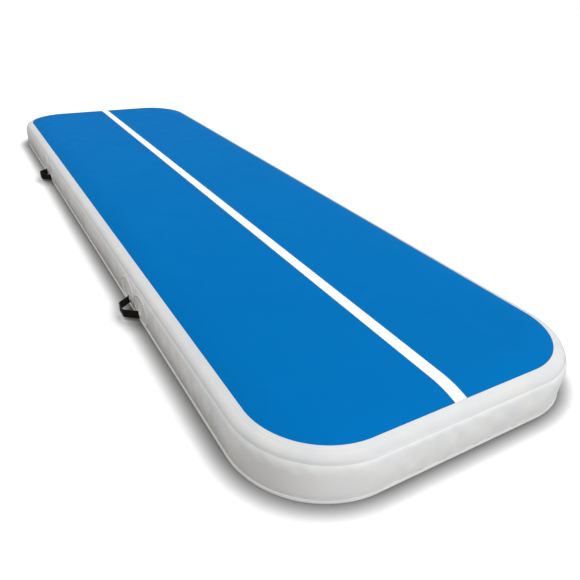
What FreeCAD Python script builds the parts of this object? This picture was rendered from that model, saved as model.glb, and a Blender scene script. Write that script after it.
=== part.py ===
import FreeCAD, Part
import math
import os

# Inflatable tumbling mat ("air track"), millimetres.
# X runs across the mat, Y along it, Z up. The origin is the middle of the underside, on the floor.

V = FreeCAD.Vector
UP = V(0, 0, 1)

# ---- Mat, driving dimensions ------------------------------------------------------------------
LENGTH = 6000.0
WIDTH = 1800.0
HEIGHT = 250.0
CORNER_R = 443.0  # plan radius of the outermost wall at the four corners
SHEET = 1.1  # coated drop-stitch fabric of the top and the underside
WALL = 0.9  # coated fabric of each side wall layer
TAPE = 0.8  # seam tapes and lap strips
GLUE = 0.4  # glue line between two layers
STRIPE_WIDTH = 66.0
STRIPE_THICK = 0.4
STRIPE_LIFT = 0.1  # film of adhesive under the stripe
STRIPE_STOP = 1.0  # the stripe ends this far short of the seam tape

# ---- Edge section: flat top, roll-down arc, straight slope, shoulder arc, bulging wall arc -----
EDGE_INSET = 76.0  # boundary of the coloured top, inboard of the outermost wall
SLOPE = math.radians(17.2)
ROLL_R = 526.0
WALL_R = 500.0
WALL_MID = 100.0  # height of the outermost line of the wall
SHOULDER_END = math.radians(8.0)  # how far the wall's normal points up where the shoulder starts
WALL_FOOT = SHEET + GLUE
TAPE_WIDTH = 76.0
TOP_UNDER_TAPE = 16.0  # how far the top sheet runs on below the seam tape
LAP_ABOVE = 30.0
LAP_BELOW = 60.0
SEAM_STEP = 1.0  # each layer's edge stops this far from the one outside it

# ---- Bottom edge strip: a flange under the mat with a bead that stands up round its rim --------
FLANGE = 39.5
FLANGE_GAP = 0.5
BEAD_HEIGHT = 14.0
BEAD_ROUND = 1.5

# ---- Drop-stitch yarns, a coarse grid ------------------------------------------------------------
YARN_R = 1.5
YARN_COLUMNS = 5
YARN_ROWS = 13
YARN_GAP_X = 300.0
YARN_GAP_Y = 450.0

# ---- Carrying handles ----------------------------------------------------------------------------
HANDLE_Y = 1310.0
HANDLE_Z = 50.0
ROOT_HALF = 100.0  # half the distance between a handle's two roots
GRIP_HALF = 42.0  # half the length of the outer run, which the hand holds
REACH = 77.0
STRAP_WIDTH = 50.0
STRAP_THICK = 2.8
STRAP_BEND = 25.0
STRAP_START = 2.6
HINGE_OUT = 3.0  # the loop swings about a line this far outside the outermost wall
SWING_R = 36.4
SWING_GAP = 0.4
PATCH_HALF_Y = 125.0
PATCH_HALF_Z = 79.0
PATCH_Z = 97.0
PATCH_THICK = 2.0
PATCH_APART = 4.0
BOSS_PROUD = 6.0
BOSS_HALF_Y = 10.0
BOSS_HALF_Z = 31.0
BOSS_ROUND = 9.0
SLOT_CLEAR = 0.3

# ---- Inflation valve, on the end wall -----------------------------------------------------------
# Distances "out" are along the valve's axis, from the outermost line of the end wall.
VALVE_X = 300.0
BARREL_R = 20.0
BARREL_FIT = 0.3  # room between the barrel and the rings round it
WALL_HOLE_FIT = 0.5
WALL_HOLE_REACH = 20.0
BORE_R = 16.0
MOUTH_OUT = 14.0
SEAT_OUT = -15.0
SEAT_IN = -18.0
SEAT_R = 10.5
FLANGE_R = 33.0
FLANGE_BACK = -9.0
FLANGE_FRONT = -5.7
GASKET_FRONT = -3.6
GASKET_INSET = 1.0
HUB_R = 8.5
HUB_BACK = -6.5
HUB_FRONT = -5.0
STEM_R = 3.0
STEM_FIT = 0.06
SPOKE = 3.0
SPOKES = 3
SPOKE_END = 1.0  # a spoke's end lies this far inside the barrel's outer face
LUG_R = 5.6
LUG_WIDTH = 3.0
LUG_END_FIT = 0.6
LUG_SIDE_FIT = 0.3
LUG_BACK = -4.5
LUG_FRONT = -3.0
BUTTON_R = 8.2
BUTTON_BACK = 4.3
BUTTON_FRONT = 6.3
GRIP_BAR = 2.0  # bar across the button, for finger and thumb
GRIP_BAR_HIGH = 1.0
STEM_BACK = -22.0
PLATE_FRONT = -20.4
POPPET_BACK = -20.3
POPPET_EDGE = -19.2
POPPET_FRONT = -18.1
POPPET_R = 14.1
POPPET_BACK_R = 13.5
SPRING_R = 7.2
SPRING_WIRE_R = 0.4
SPRING_TURNS = 4
SPRING_FIT = 0.1
NUT_R = 28.0
NUT_BACK = 3.8
NUT_FRONT = 11.0
NUT_RIBS = 16
NUT_RIB_R = 1.2
VALVE_PATCH_R = 60.0
VALVE_PATCH = 1.5
VALVE_PATCH_REACH = 30.0
CAP_R = 24.0
CAP_BACK = 14.3
CAP_THICK = 3.0
CAP_BEVEL = 1.0
PLUG_DEPTH = 6.3
PLUG_R = 15.6
PLUG_TIP_R = 15.0
PLUG_WALL = 3.0
PLUG_TAPER = 0.2  # how much the plug's radius grows up to the ring's groove
PLUG_STEP = 0.1
PLUG_FLOOR = 1.0
RING_OUT = 11.0
RING_R = 14.9
RING_WIRE_R = 0.8
RING_FIT = 0.05
CAP_HINGE_UP = 34.0  # height of the cap's hinge line above the valve's axis
CAP_HINGE_GAP = 0.4  # the cap's tab stops this far below the hinge line
TAB_WIDTH = 16.0
TAB_THICK = 2.0
TAB_ROOT = 4.0
PULL_TAB = 9.0
TETHER_THICK = 1.2
TETHER_TIP = 12.0
TETHER_ROOT = 3.0
RISER_LOW = 0.5  # the tether's riser spans these heights above the hinge line
RISER_HIGH = 2.0
TOLERANCE = 1e-6

CORNER_X = WIDTH / 2 - CORNER_R
CORNER_Y = LENGTH / 2 - CORNER_R


# ---- Edge section ----------------------------------------------------------------------------------
def solve_shoulder():
    """Length of the straight slope and radius of the shoulder that join the roll to the wall."""
    top_normal = math.pi / 2 - SLOPE
    drop = ROLL_R * (1 - math.cos(SLOPE))
    across = EDGE_INSET - WALL_R * (1 - math.cos(SHOULDER_END))
    down = HEIGHT - drop - WALL_MID - WALL_R * math.sin(SHOULDER_END)
    arc_across = math.cos(SHOULDER_END) - math.cos(top_normal)
    arc_down = math.sin(top_normal) - math.sin(SHOULDER_END)
    det = math.cos(SLOPE) * arc_down - math.sin(SLOPE) * arc_across
    slope_length = (across * arc_down - down * arc_across) / det
    radius = (math.cos(SLOPE) * down - math.sin(SLOPE) * across) / det
    return slope_length, radius


SLOPE_LENGTH, SHOULDER_R = solve_shoulder()
TOP_NORMAL = math.pi / 2 - SLOPE
FOOT_NORMAL = -math.asin((WALL_MID - WALL_FOOT) / WALL_R)
ROLL_LENGTH = ROLL_R * SLOPE
SHOULDER_AT = SLOPE_LENGTH
WALL_AT = SHOULDER_AT + SHOULDER_R * (TOP_NORMAL - SHOULDER_END)
FOOT_AT = WALL_AT + WALL_R * (SHOULDER_END - FOOT_NORMAL)
ROLL_INSET = EDGE_INSET + ROLL_R * math.sin(SLOPE)


def skin_point(along, depth):
    """Point of the edge section.

    along: distance down the skin from the coloured top's boundary, negative on the roll.
    depth: how far below the skin, along its normal.
    Returns (distance out from a plan corner's centre, height).
    """
    if along <= 0:
        normal = TOP_NORMAL - along / ROLL_R
        cx, cz, r = -ROLL_INSET, HEIGHT - ROLL_R, ROLL_R
    elif along <= SHOULDER_AT:
        start = skin_point(0, depth)
        return start[0] + along * math.cos(SLOPE), start[1] - along * math.sin(SLOPE)
    elif along <= WALL_AT:
        normal = TOP_NORMAL - (along - SHOULDER_AT) / SHOULDER_R
        cx = -WALL_R + (WALL_R - SHOULDER_R) * math.cos(SHOULDER_END)
        cz = WALL_MID + (WALL_R - SHOULDER_R) * math.sin(SHOULDER_END)
        r = SHOULDER_R
    else:
        normal = SHOULDER_END - (along - WALL_AT) / WALL_R
        cx, cz, r = -WALL_R, WALL_MID, WALL_R
    r -= depth
    return CORNER_R + cx + r * math.cos(normal), cz + r * math.sin(normal)


def section_vector(point):
    return V(point[0], 0, point[1])


def skin_edges(start, end, depth):
    """Edges of the section between two distances along the skin, at one depth."""
    low, high = min(start, end), max(start, end)
    stops = [low] + [s for s in (0.0, SHOULDER_AT, WALL_AT) if low < s < high] + [high]
    if start > end:
        stops.reverse()
    edges = []
    for a, b in zip(stops, stops[1:]):
        first = section_vector(skin_point(a, depth))
        last = section_vector(skin_point(b, depth))
        if min(a, b) >= 0 and max(a, b) <= SHOULDER_AT:
            edges.append(Part.LineSegment(first, last).toShape())
        else:
            middle = section_vector(skin_point((a + b) / 2, depth))
            edges.append(Part.Arc(first, middle, last).toShape())
    return edges


def band_face(start, end, outer, inner):
    """Section of a layer that follows the skin, between two depths (negative is outside it)."""
    there = skin_edges(start, end, outer)
    back = skin_edges(end, start, inner)
    a = section_vector(skin_point(end, outer))
    b = section_vector(skin_point(end, inner))
    c = section_vector(skin_point(start, inner))
    d = section_vector(skin_point(start, outer))
    closing = Part.LineSegment(a, b).toShape()
    opening = Part.LineSegment(c, d).toShape()
    return Part.Face(Part.Wire(there + [closing] + back + [opening]))


def one_solid(shapes):
    """Fuse shapes that share faces into a single solid."""
    fused = shapes[0].multiFuse(shapes[1:]).removeSplitter()
    assert len(fused.Solids) == 1, len(fused.Solids)
    return fused.Solids[0]


def ring(face):
    """Carry a section, drawn out from a corner's centre, right round the mat."""
    sides = [
        (CORNER_X, CORNER_Y, V(-2 * CORNER_X, 0, 0)),
        (-CORNER_X, CORNER_Y, V(0, -2 * CORNER_Y, 0)),
        (-CORNER_X, -CORNER_Y, V(2 * CORNER_X, 0, 0)),
        (CORNER_X, -CORNER_Y, V(0, 2 * CORNER_Y, 0)),
    ]
    pieces = []
    for turn, (x, y, run) in enumerate(sides):
        centre = V(x, y, 0)
        first = face.copy()
        first.rotate(V(0, 0, 0), UP, 90 * turn)
        first.translate(centre)
        last = face.copy()
        last.rotate(V(0, 0, 0), UP, 90 * (turn + 1))
        last.translate(centre)
        pieces.append(first.revolve(centre, UP, 90))
        pieces.append(last.extrude(run))
    return one_solid(pieces)


def rounded_slab(corner_r, bottom, top):
    """Plate with the mat's corner centres and a given corner radius."""
    half_x = CORNER_X + corner_r
    half_y = CORNER_Y + corner_r
    plate = Part.makeBox(2 * half_x, 2 * half_y, top - bottom, V(-half_x, -half_y, bottom))
    upright = [e for e in plate.Edges if abs(e.Vertexes[0].Z - e.Vertexes[1].Z) > (top - bottom) / 2]
    return plate.makeFillet(corner_r, upright)


def top_sheet():
    flat = rounded_slab(CORNER_R - ROLL_INSET, HEIGHT - SHEET, HEIGHT)
    rolled = ring(band_face(-ROLL_LENGTH, TOP_UNDER_TAPE, 0, SHEET))
    return one_solid([flat, rolled])


def centre_stripe():
    """Thin band down the middle of the top, following the roll at both ends."""
    ends = []
    for depth in (-STRIPE_LIFT - STRIPE_THICK, -STRIPE_LIFT):
        edges = skin_edges(-ROLL_LENGTH, -STRIPE_STOP, depth)
        ends.append((edges[0], skin_point(-ROLL_LENGTH, depth), skin_point(-STRIPE_STOP, depth)))
    (top_arc, top_in, top_out), (low_arc, low_in, low_out) = ends
    half = []
    for arc in (top_arc, low_arc):
        placed = arc.copy()
        placed.translate(V(CORNER_Y, 0, 0))
        half.append(placed)
    tip = Part.LineSegment(V(CORNER_Y + top_out[0], 0, top_out[1]), V(CORNER_Y + low_out[0], 0, low_out[1]))
    root = Part.LineSegment(V(CORNER_Y + low_in[0], 0, low_in[1]), V(CORNER_Y + top_in[0], 0, top_in[1]))
    end_face = Part.Face(Part.Wire(Part.__sortEdges__([half[0], half[1], tip.toShape(), root.toShape()])))
    far_end = end_face.extrude(V(0, STRIPE_WIDTH, 0))
    far_end.rotate(V(0, 0, 0), UP, 90)
    far_end.translate(V(STRIPE_WIDTH / 2, 0, 0))
    near_end = far_end.copy()
    near_end.rotate(V(0, 0, 0), UP, 180)
    flat_half = CORNER_Y + top_in[0]
    corner = V(-STRIPE_WIDTH / 2, -flat_half, HEIGHT + STRIPE_LIFT)
    flat = Part.makeBox(STRIPE_WIDTH, 2 * flat_half, STRIPE_THICK, corner)
    return one_solid([flat, far_end, near_end])


def bottom_edge_strip():
    """Flange under the rim, with a bead standing up outside the foot of the wall."""
    gap = GLUE / 2
    foot = skin_point(FOOT_AT, 0)[0]
    crest_at = FOOT_AT - (BEAD_HEIGHT - WALL_FOOT)
    crest = skin_point(crest_at, -gap)
    points = [
        V(CORNER_R - FLANGE, 0, 0),
        V(CORNER_R - BEAD_ROUND, 0, 0),
        V(CORNER_R, 0, BEAD_ROUND),
        V(CORNER_R, 0, BEAD_HEIGHT / 2),
        V(crest[0], 0, crest[1]),
        V(foot + GLUE, 0, WALL_FOOT),
        V(foot + GLUE, 0, SHEET),
        V(CORNER_R - FLANGE, 0, SHEET),
    ]
    return ring(Part.Face(Part.makePolygon(points + points[:1])))


def flat_ring(inset_out, inset_in, bottom, top):
    """Flat band under or inside the rim, between two insets from the outermost wall."""
    points = [
        V(CORNER_R - inset_in, 0, bottom),
        V(CORNER_R - inset_out, 0, bottom),
        V(CORNER_R - inset_out, 0, top),
        V(CORNER_R - inset_in, 0, top),
    ]
    return ring(Part.Face(Part.makePolygon(points + points[:1])))


def drop_stitch_yarns():
    yarns = []
    for column in range(YARN_COLUMNS):
        for row in range(YARN_ROWS):
            x = (column - (YARN_COLUMNS - 1) / 2) * YARN_GAP_X
            y = (row - (YARN_ROWS - 1) / 2) * YARN_GAP_Y
            yarns.append(Part.makeCylinder(YARN_R, HEIGHT - 2 * SHEET, V(x, y, SHEET)))
    return Part.makeCompound(yarns)


# ---- Handles ----------------------------------------------------------------------------------------
# Built on the +X wall round the point (WIDTH / 2, 0, HANDLE_Z), then moved along it or turned over.
def rounded_path(points, bend, shift):
    """Edges of a path with rounded corners, all turning left, moved sideways to its left by shift."""
    edges = []
    start = None
    for i in range(1, len(points) - 1):
        before = (points[i] - points[i - 1]).normalize()
        after = (points[i + 1] - points[i]).normalize()
        left_before = V(-before.y, before.x, 0)
        left_after = V(-after.y, after.x, 0)
        setback = bend * math.tan(before.getAngle(after) / 2)
        centre = points[i] - before * setback + left_before * bend
        enter = points[i] - before * setback + left_before * shift
        leave = points[i] + after * setback + left_after * shift
        outward = (points[i] - centre).normalize()
        middle = centre + outward * (bend - shift)
        if start is None:
            start = points[0] + left_before * shift
        edges.append(Part.LineSegment(start, enter).toShape())
        edges.append(Part.Arc(enter, middle, leave).toShape())
        start = leave
    edges.append(Part.LineSegment(start, points[-1] + left_after * shift).toShape())
    return edges


def strap_band(thick, width):
    """The whole webbing loop in plan, from wall to wall, extruded over its width."""
    wall = WIDTH / 2
    centreline = [
        V(wall, -ROOT_HALF, 0),
        V(wall + REACH, -GRIP_HALF, 0),
        V(wall + REACH, GRIP_HALF, 0),
        V(wall, ROOT_HALF, 0),
    ]
    outer = rounded_path(centreline, STRAP_BEND, -thick / 2)
    inner = rounded_path(centreline, STRAP_BEND, thick / 2)
    ends = []
    for i in (0, -1):
        a = outer[i].Vertexes[i].Point
        b = inner[i].Vertexes[i].Point
        ends.append(Part.LineSegment(a, b).toShape())
    wire = Part.Wire(Part.__sortEdges__(outer + inner + ends))
    band = Part.Face(wire).extrude(V(0, 0, width))
    band.translate(V(0, 0, HANDLE_Z - width / 2))
    return band


def swing_cylinder(radius):
    """Round space about the handle's hinge line."""
    hinge = V(WIDTH / 2 + HINGE_OUT, -2 * ROOT_HALF, HANDLE_Z)
    return Part.makeCylinder(radius, 4 * ROOT_HALF, hinge, V(0, 1, 0))


def outside_wall(start):
    """Block of space further out than start from the outermost wall."""
    side = 4 * ROOT_HALF
    return Part.makeBox(side, side, side, V(WIDTH / 2 + start, -side / 2, HANDLE_Z - side / 2))


def strap_loop():
    loop = strap_band(STRAP_THICK, STRAP_WIDTH).common(outside_wall(STRAP_START))
    return loop.cut(swing_cylinder(SWING_R + SWING_GAP / 2)).Solids[0]


def strap_ends():
    ends = strap_band(STRAP_THICK, STRAP_WIDTH).common(outside_wall(STRAP_START))
    return Part.makeCompound(ends.common(swing_cylinder(SWING_R - SWING_GAP / 2)).Solids)


def wall_layer(outer, inner, start, end):
    """Stretch of a layer on the +X wall, as a straight extrusion along the mat."""
    section = band_face(start, end, outer, inner)
    section.translate(V(CORNER_X, 0, 0))
    return section.extrude(V(0, 4 * PATCH_HALF_Y, 0))


def handle_patch(side):
    """Moulded patch under one root of a handle: an oval plate with a slotted boss for the strap."""
    middle_y = side * (PATCH_HALF_Y + PATCH_APART / 2)
    face = -GLUE - PATCH_THICK
    block = 8 * BOSS_PROUD
    plate = wall_layer(face, -GLUE, SHOULDER_AT, FOOT_AT)
    plate.translate(V(0, middle_y - 2 * PATCH_HALF_Y, 0))
    oval_wire = Part.Ellipse(V(0, 0, 0), PATCH_HALF_Y, PATCH_HALF_Z).toShape()
    oval = Part.Face(Part.Wire([oval_wire])).extrude(V(0, 0, block))
    oval.rotate(V(0, 0, 0), UP, 90)
    oval.rotate(V(0, 0, 0), V(0, 1, 0), 90)
    oval.translate(V(WIDTH / 2 - block / 2, middle_y, PATCH_Z))
    boss_box = Part.makeBox(block, 2 * BOSS_HALF_Y, 2 * BOSS_HALF_Z)
    boss_box = boss_box.makeFillet(BOSS_ROUND, [e for e in boss_box.Edges if is_along_x(e)])
    boss_box.translate(V(WIDTH / 2 - block / 2, side * ROOT_HALF - BOSS_HALF_Y, HANDLE_Z - BOSS_HALF_Z))
    boss = wall_layer(face - BOSS_PROUD, face + PATCH_THICK / 2, SHOULDER_AT, FOOT_AT)
    boss.translate(V(0, side * ROOT_HALF - 2 * PATCH_HALF_Y, 0))
    patch = plate.common(oval).fuse(boss.common(boss_box))
    slot = strap_band(STRAP_THICK + 2 * SLOT_CLEAR, STRAP_WIDTH + 2 * SLOT_CLEAR)
    slot = slot.common(outside_wall(STRAP_START - SLOT_CLEAR))
    return patch.cut(slot).removeSplitter().Solids[0]


def is_along_x(edge):
    a, b = edge.Vertexes[0].Point, edge.Vertexes[1].Point
    return abs(a.y - b.y) < TOLERANCE and abs(a.z - b.z) < TOLERANCE


def place_handle(shape, x_side, y_side):
    """Move a +X, mid-length shape to one of the four handles."""
    placed = shape.copy()
    if x_side < 0:
        placed = placed.mirror(V(0, 0, 0), V(1, 0, 0))
    placed.translate(V(0, y_side * HANDLE_Y, 0))
    return placed


# ---- Valve ------------------------------------------------------------------------------------------
# Turned shapes are drawn as (radius, distance out) and stand on the +Y end wall.
VALVE_CENTRE = V(VALVE_X, LENGTH / 2, WALL_MID)
OUT = V(0, 1, 0)


def turned(points):
    """Solid turned about the valve's axis from (radius, distance out) points."""
    outline = [V(VALVE_X + r, LENGTH / 2 + out, WALL_MID) for r, out in points]
    face = Part.Face(Part.makePolygon(outline + outline[:1]))
    return face.revolve(VALVE_CENTRE, OUT, 360)


def disc(radius, back, front):
    return Part.makeCylinder(radius, front - back, VALVE_CENTRE + OUT * back, OUT)


def tube(outer, inner, back, front):
    return disc(outer, back, front).cut(disc(inner, back, front))


def valve_block(width, bottom, top, back, front):
    """Box at the valve, heights counted from its axis."""
    corner = VALVE_CENTRE + V(-width / 2, back, bottom)
    return Part.makeBox(width, front - back, top - bottom, corner)


def valve_base():
    """Inner flange and barrel, with the seat at its inner end and a spoked guide for the stem."""
    barrel = tube(BARREL_R, BORE_R, SEAT_IN, MOUTH_OUT)
    seat = tube(BORE_R, SEAT_R, SEAT_IN, SEAT_OUT)
    flange = tube(FLANGE_R, BORE_R, FLANGE_BACK, FLANGE_FRONT)
    hub = disc(HUB_R, HUB_BACK, HUB_FRONT)
    spokes = []
    for i in range(SPOKES):
        spoke = valve_block(SPOKE, HUB_R / 2, BARREL_R - SPOKE_END, HUB_BACK, HUB_FRONT)
        spoke.rotate(VALVE_CENTRE, OUT, 360 / SPOKES * i)
        spokes.append(spoke)
    body = one_solid([barrel, seat, flange, hub] + spokes)
    slot_side = LUG_WIDTH / 2 + LUG_SIDE_FIT
    slot = valve_block(2 * (LUG_R + LUG_END_FIT), -slot_side, slot_side, HUB_BACK, HUB_FRONT)
    return body.cut(slot).cut(disc(STEM_R + STEM_FIT, HUB_BACK, HUB_FRONT)).Solids[0]


def valve_stem():
    """Press-and-turn stem: button, two locking lugs, and a plate behind the poppet."""
    rod = disc(STEM_R, STEM_BACK, BUTTON_FRONT)
    button = disc(BUTTON_R, BUTTON_BACK, BUTTON_FRONT)
    reach = BUTTON_R - GRIP_BAR / 2
    grip = valve_block(GRIP_BAR, -reach, reach, BUTTON_FRONT, BUTTON_FRONT + GRIP_BAR_HIGH)
    lugs = valve_block(2 * LUG_R, -LUG_WIDTH / 2, LUG_WIDTH / 2, LUG_BACK, LUG_FRONT)
    plate = disc(HUB_R, STEM_BACK, PLATE_FRONT)
    return one_solid([rod, button, grip, lugs, plate])


def valve_poppet():
    """Rubber disc that closes on the seat from inside."""
    return turned([
        (STEM_R + STEM_FIT, POPPET_BACK),
        (POPPET_BACK_R, POPPET_BACK),
        (POPPET_R, POPPET_EDGE),
        (POPPET_R, POPPET_FRONT),
        (STEM_R + STEM_FIT, POPPET_FRONT),
    ])


def valve_spring():
    """Coil spring between the guide's hub and the button."""
    inset = SPRING_WIRE_R + SPRING_FIT
    length = BUTTON_BACK - HUB_FRONT - 2 * inset
    path = Part.makeHelix(length / SPRING_TURNS, length, SPRING_R)
    section = Part.Wire(Part.Circle(V(SPRING_R, 0, 0), OUT, SPRING_WIRE_R).toShape())
    coil = Part.Wire(path).makePipeShell([section], True, True)
    coil.rotate(V(0, 0, 0), V(1, 0, 0), -90)
    coil.translate(VALVE_CENTRE + OUT * (HUB_FRONT + inset))
    return coil


def valve_nut():
    """Ribbed ring that clamps the wall between itself and the inner flange."""
    nut = tube(NUT_R, BARREL_R + BARREL_FIT, NUT_BACK, NUT_FRONT)
    for i in range(NUT_RIBS):
        groove = disc(NUT_RIB_R, NUT_BACK, NUT_FRONT)
        groove.translate(V(0, 0, NUT_R + NUT_RIB_R / 3))
        groove.rotate(VALVE_CENTRE, OUT, 360.0 * i / NUT_RIBS)
        nut = nut.cut(groove)
    return nut.Solids[0]


def valve_patch():
    """Round reinforcing patch that follows the end wall, with a hole for the barrel."""
    section = band_face(SHOULDER_AT, FOOT_AT, -GLUE - VALVE_PATCH, -GLUE)
    section.rotate(V(0, 0, 0), UP, 90)
    section.translate(V(VALVE_X + 2 * VALVE_PATCH_R, CORNER_Y, 0))
    layer = section.extrude(V(-4 * VALVE_PATCH_R, 0, 0))
    cutter = tube(VALVE_PATCH_R, BARREL_R + WALL_HOLE_FIT, -VALVE_PATCH_REACH, VALVE_PATCH_REACH)
    return layer.common(cutter).Solids[0]


def valve_cap():
    """Push-in cap: a disc with a tapered plug, a groove for its ring, a pull tab and a hinge tab."""
    groove = RING_WIRE_R + RING_FIT
    groove_r = RING_R - groove
    tip = CAP_BACK - PLUG_DEPTH
    front = CAP_BACK + CAP_THICK
    hollow_r = PLUG_TIP_R - PLUG_WALL
    cap = turned([
        (hollow_r, tip),
        (PLUG_TIP_R, tip),
        (PLUG_TIP_R + PLUG_TAPER, RING_OUT - groove),
        (groove_r, RING_OUT - groove),
        (groove_r, RING_OUT + groove),
        (PLUG_R - PLUG_STEP, RING_OUT + groove),
        (PLUG_R, CAP_BACK),
        (CAP_R, CAP_BACK),
        (CAP_R, front - CAP_BEVEL),
        (CAP_R - CAP_BEVEL, front),
        (0, front),
        (0, CAP_BACK - PLUG_FLOOR),
        (hollow_r, CAP_BACK - PLUG_FLOOR),
    ])
    root = CAP_R - TAB_ROOT
    tab_front = CAP_BACK + TAB_THICK
    hinge_tab = valve_block(TAB_WIDTH, root, CAP_HINGE_UP - CAP_HINGE_GAP, CAP_BACK, tab_front)
    pull_tab = valve_block(TAB_WIDTH, -CAP_R - PULL_TAB, -root, CAP_BACK, tab_front)
    return one_solid([cap, hinge_tab, pull_tab])


def cap_seal():
    ring_axis = VALVE_CENTRE + OUT * RING_OUT
    return Part.makeTorus(RING_R, RING_WIRE_R, ring_axis, OUT)


def cap_tether():
    """Ring held under the nut, with a strip that rises to the cap's hinge line."""
    back = NUT_BACK - GLUE / 2 - TETHER_THICK
    front = back + TETHER_THICK
    top = CAP_HINGE_UP + RISER_HIGH
    eye = tube(NUT_R, BARREL_R + BARREL_FIT, back, front)
    strip = valve_block(TAB_WIDTH, NUT_R - TETHER_ROOT, top, back, front)
    riser = valve_block(TAB_WIDTH, CAP_HINGE_UP + RISER_LOW, top, back, TETHER_TIP)
    return one_solid([eye, strip, riser])


# ---- All pieces ---------------------------------------------------------------------------------------
def mat_pieces():
    hole = disc(BARREL_R + WALL_HOLE_FIT, -WALL_HOLE_REACH, WALL_HOLE_REACH)
    outer_top = TOP_UNDER_TAPE + SEAM_STEP
    outer_wall = ring(band_face(outer_top, FOOT_AT, 0, WALL))
    inner_depth = WALL + GLUE
    inner_wall = ring(band_face(outer_top + SEAM_STEP, FOOT_AT, inner_depth, inner_depth + WALL))
    lap_depth = inner_depth + WALL + GLUE
    inner_foot = CORNER_R - skin_point(FOOT_AT, inner_depth + WALL)[0]
    return {
        "top_sheet": top_sheet(),
        "centre_stripe": centre_stripe(),
        "bottom_sheet": rounded_slab(CORNER_R - FLANGE - FLANGE_GAP, 0, SHEET),
        "drop_stitch_yarns": drop_stitch_yarns(),
        "sidewall_outer": outer_wall.cut(hole).Solids[0],
        "sidewall_inner": inner_wall.cut(hole).Solids[0],
        "top_seam_tape": ring(band_face(0, TAPE_WIDTH, -GLUE - TAPE, -GLUE)),
        "bottom_edge_strip": bottom_edge_strip(),
        "top_lap_strip": ring(band_face(-LAP_ABOVE, LAP_BELOW, lap_depth, lap_depth + TAPE)),
        "bottom_lap_strip": flat_ring(inner_foot + SEAM_STEP, EDGE_INSET, WALL_FOOT, WALL_FOOT + TAPE),
    }


def handle_pieces():
    shapes = {
        "strap": strap_loop(),
        "strap_ends": strap_ends(),
        "patch_front": handle_patch(-1),
        "patch_back": handle_patch(1),
    }
    pieces = {}
    for side_name, x_side in (("left", -1), ("right", 1)):
        for end_name, y_side in (("front", -1), ("back", 1)):
            for piece, shape in shapes.items():
                name = "handle_" + side_name + "_" + end_name + "_" + piece
                pieces[name] = place_handle(shape, x_side, y_side)
    return pieces


def valve_pieces():
    return {
        "valve_patch": valve_patch(),
        "valve_base": valve_base(),
        "valve_gasket": tube(FLANGE_R - GASKET_INSET, BARREL_R + BARREL_FIT, FLANGE_FRONT, GASKET_FRONT),
        "valve_nut": valve_nut(),
        "valve_stem": valve_stem(),
        "valve_poppet": valve_poppet(),
        "valve_spring": valve_spring(),
        "valve_cap": valve_cap(),
        "cap_seal": cap_seal(),
        "cap_tether": cap_tether(),
    }


def main():
    os.makedirs("parts", exist_ok=True)
    for pieces in (mat_pieces(), handle_pieces(), valve_pieces()):
        for name, shape in pieces.items():
            assert shape.isValid(), name
            shape.exportStep("parts/" + name + ".step")


main()
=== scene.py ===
import math
from collections import namedtuple

import bpy
import bmesh
from mathutils import Matrix, Vector, noise


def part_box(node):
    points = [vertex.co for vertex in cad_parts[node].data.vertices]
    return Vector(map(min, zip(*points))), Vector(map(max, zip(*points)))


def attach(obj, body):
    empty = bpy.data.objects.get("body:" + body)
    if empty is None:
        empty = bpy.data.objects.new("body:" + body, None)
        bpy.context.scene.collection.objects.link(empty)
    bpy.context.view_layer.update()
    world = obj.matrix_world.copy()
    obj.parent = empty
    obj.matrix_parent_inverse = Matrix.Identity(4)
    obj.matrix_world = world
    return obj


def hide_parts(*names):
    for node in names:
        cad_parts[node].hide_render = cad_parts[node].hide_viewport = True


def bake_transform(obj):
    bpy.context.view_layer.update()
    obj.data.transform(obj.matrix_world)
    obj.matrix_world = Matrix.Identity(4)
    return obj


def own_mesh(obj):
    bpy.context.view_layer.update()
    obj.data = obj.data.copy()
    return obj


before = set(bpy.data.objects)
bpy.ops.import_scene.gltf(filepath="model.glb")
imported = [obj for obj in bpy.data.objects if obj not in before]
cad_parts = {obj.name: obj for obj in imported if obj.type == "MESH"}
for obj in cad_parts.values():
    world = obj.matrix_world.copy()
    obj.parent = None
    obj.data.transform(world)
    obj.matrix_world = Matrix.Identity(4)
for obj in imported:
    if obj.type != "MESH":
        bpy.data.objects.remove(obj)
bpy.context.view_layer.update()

# Looks of an inflatable tumbling mat, in metres. X runs across it, Y along it, Z up from the floor.
MM = 0.001

# ---- Sizes: the whole mat from the frame, the layers and the edge section as they are made -----------
WALL_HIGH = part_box("sidewall_outer")[1]
HALF_WIDTH = WALL_HIGH.x
HALF_LENGTH = WALL_HIGH.y
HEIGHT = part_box("top_sheet")[1].z
CORNER_R = 443 * MM
CORNER_X = HALF_WIDTH - CORNER_R
CORNER_Y = HALF_LENGTH - CORNER_R
EDGE_INSET = 76 * MM  # boundary of the blue top, inboard of the outermost wall
SLOPE = math.radians(17.2)
ROLL_R = 526 * MM
WALL_R = 500 * MM
WALL_MID = 100 * MM
SHOULDER_END = math.radians(8.0)
SHEET = 1.1 * MM
WALL = 0.9 * MM
TAPE = 0.8 * MM
GLUE = 0.4 * MM
TAPE_WIDTH = 76 * MM
TOP_UNDER_TAPE = 16 * MM
WALL_FOOT = SHEET + GLUE
BEAD_HEIGHT = 14 * MM
FLANGE = 39.5 * MM
SEAM_STEP = 1 * MM  # each layer's edge stops this far from the one outside it
LAP_ABOVE = 30 * MM
LAP_BELOW = 60 * MM
STRIPE_THICK = 0.4 * MM
STRIPE_LIFT = 0.1 * MM

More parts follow.
